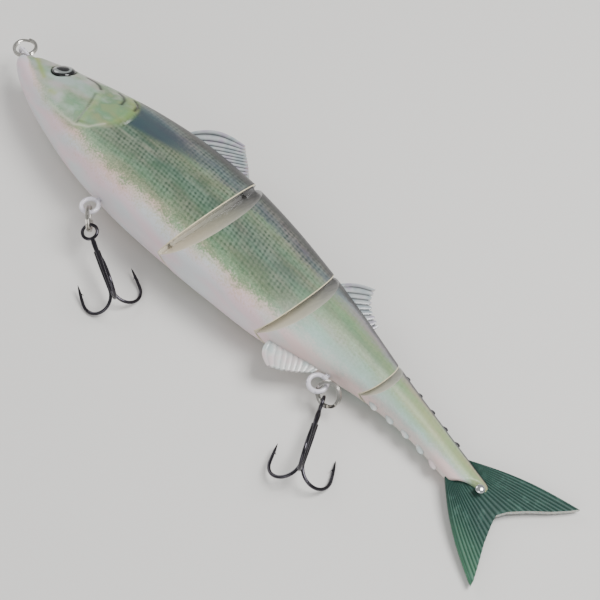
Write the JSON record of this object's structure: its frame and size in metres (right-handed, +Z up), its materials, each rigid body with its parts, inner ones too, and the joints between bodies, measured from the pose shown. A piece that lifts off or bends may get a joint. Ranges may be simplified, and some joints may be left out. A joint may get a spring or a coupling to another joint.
{
  "type": "jointed swimbait",
  "caption": "Hard-bodied jointed swimbait: hollow fish sections hinged on vertical pins, pearl fins, soft forked tail, domed eyes, and treble hooks hung on split rings from wire hangers.",
  "frame": {"origin": "centre of the bounding box in X and Y, on the surface that the lure lies on", "axes": "+X from the jaw to the tail, +Y towards the back, +Z up through the left flank; the lure lies on its right flank"},
  "size_m": [0.2568, 0.0757, 0.0294],
  "materials": {
    "flank_paint": "airbrushed pearl and green paint under clear coat on moulded ABS",
    "pearl_fin": "moulded plastic with pearl paint",
    "nickel_wire": "bright nickel-plated steel",
    "painted_wire": "pearl paint over steel wire",
    "black_nickel": "black nickel plated high-carbon steel",
    "eye_foil": "silver foil with a printed black pupil",
    "eye_resin": "clear cast resin",
    "soft_tail": "soft thermoplastic elastomer, satin",
    "lead": "cast lead, dull"
  },
  "bodies": {
    "head": {"head_shell_left": "flank_paint", "head_shell_right": "flank_paint", "front_dorsal_fin": "pearl_fin", "eye_disc_left": "eye_foil", "eye_disc_right": "eye_foil", "eye_dome_left": "eye_resin", "eye_dome_right": "eye_resin", "line_tie": "painted_wire", "front_hanger": "painted_wire", "joint_1_pin": "nickel_wire", "front_ballast": "lead", "middle_ballast": "lead"},
    "mid": {"mid_shell_left": "flank_paint", "mid_shell_right": "flank_paint", "joint_1_eye_lower": "nickel_wire", "joint_1_eye_upper": "nickel_wire", "joint_2_pin": "nickel_wire", "rear_ballast": "lead"},
    "rear": {"rear_shell_left": "flank_paint", "rear_shell_right": "flank_paint", "joint_2_eye_lower": "nickel_wire", "joint_2_eye_upper": "nickel_wire", "rear_dorsal_fin": "pearl_fin", "anal_fin": "pearl_fin", "rear_hanger": "painted_wire", "joint_3_pin": "nickel_wire"},
    "tail": {"tail_shell_left": "flank_paint", "tail_shell_right": "flank_paint", "joint_3_eye_lower": "nickel_wire", "joint_3_eye_upper": "nickel_wire", "tail_pin": "nickel_wire", "tail_fin_root": "soft_tail"},
    "tail_blade": {"tail_fin_blade": "soft_tail"},
    "nose_ring": {"nose_split_ring": "nickel_wire"},
    "front_ring": {"front_split_ring": "nickel_wire"},
    "front_hook": {"front_treble_hook": "black_nickel"},
    "rear_ring": {"rear_split_ring": "nickel_wire"},
    "rear_hook": {"rear_treble_hook": "black_nickel"}
  },
  "joints": [
    {"name": "joint_1", "type": "hinge", "parent": "head", "child": "mid", "pos_m": [-0.02099, 0.00727, 0.01507], "axis": [0, 1, 0], "range_deg": [-16.6, 5.4]},
    {"name": "joint_2", "type": "hinge", "parent": "mid", "child": "rear", "pos_m": [0.0205, 0.00727, 0.01203], "axis": [0, 1, 0], "range_deg": [-13.2, 8.8]},
    {"name": "joint_3", "type": "hinge", "parent": "rear", "child": "tail", "pos_m": [0.05667, 0.00727, 0.00797], "axis": [0, 1, 0], "range_deg": [-9.7, 12.3]},
    {"name": "tail_flex", "type": "hinge", "parent": "tail", "child": "tail_blade", "pos_m": [0.11086, 0.00727, 0.00313], "axis": [0, 1, 0], "range_deg": [-20, 20], "stiffness_Nm_per_rad": 0.02},
    {"name": "nose_ring_swing", "type": "hinge", "parent": "head", "child": "nose_ring", "pos_m": [-0.12376, 0.00867, 0.01256], "axis": [-0.0244, 0, 0.9997], "range_deg": [0, 120]},
    {"name": "front_ring_swing", "type": "hinge", "parent": "head", "child": "front_ring", "pos_m": [-0.04685, -0.01782, 0.01444], "axis": [0.6621, 0.7493, 0.0162], "range_deg": [-50, 12]},
    {"name": "front_hook_swing", "type": "hinge", "parent": "front_ring", "child": "front_hook", "pos_m": [-0.04313, -0.02103, 0.01108], "axis": [-0.4146, 0.3841, -0.825], "range_deg": [-4, 60]},
    {"name": "rear_ring_swing", "type": "hinge", "parent": "rear", "child": "rear_ring", "pos_m": [0.05136, -0.00333, 0.00857], "axis": [0.0669, -0.8, 0.5963], "range_deg": [-36, 8]},
    {"name": "rear_hook_swing", "type": "hinge", "parent": "rear_ring", "child": "rear_hook", "pos_m": [0.05304, -0.00567, 0.00524], "axis": [0.9938, 0, -0.1115], "range_deg": [-60, 15]}
  ]
}
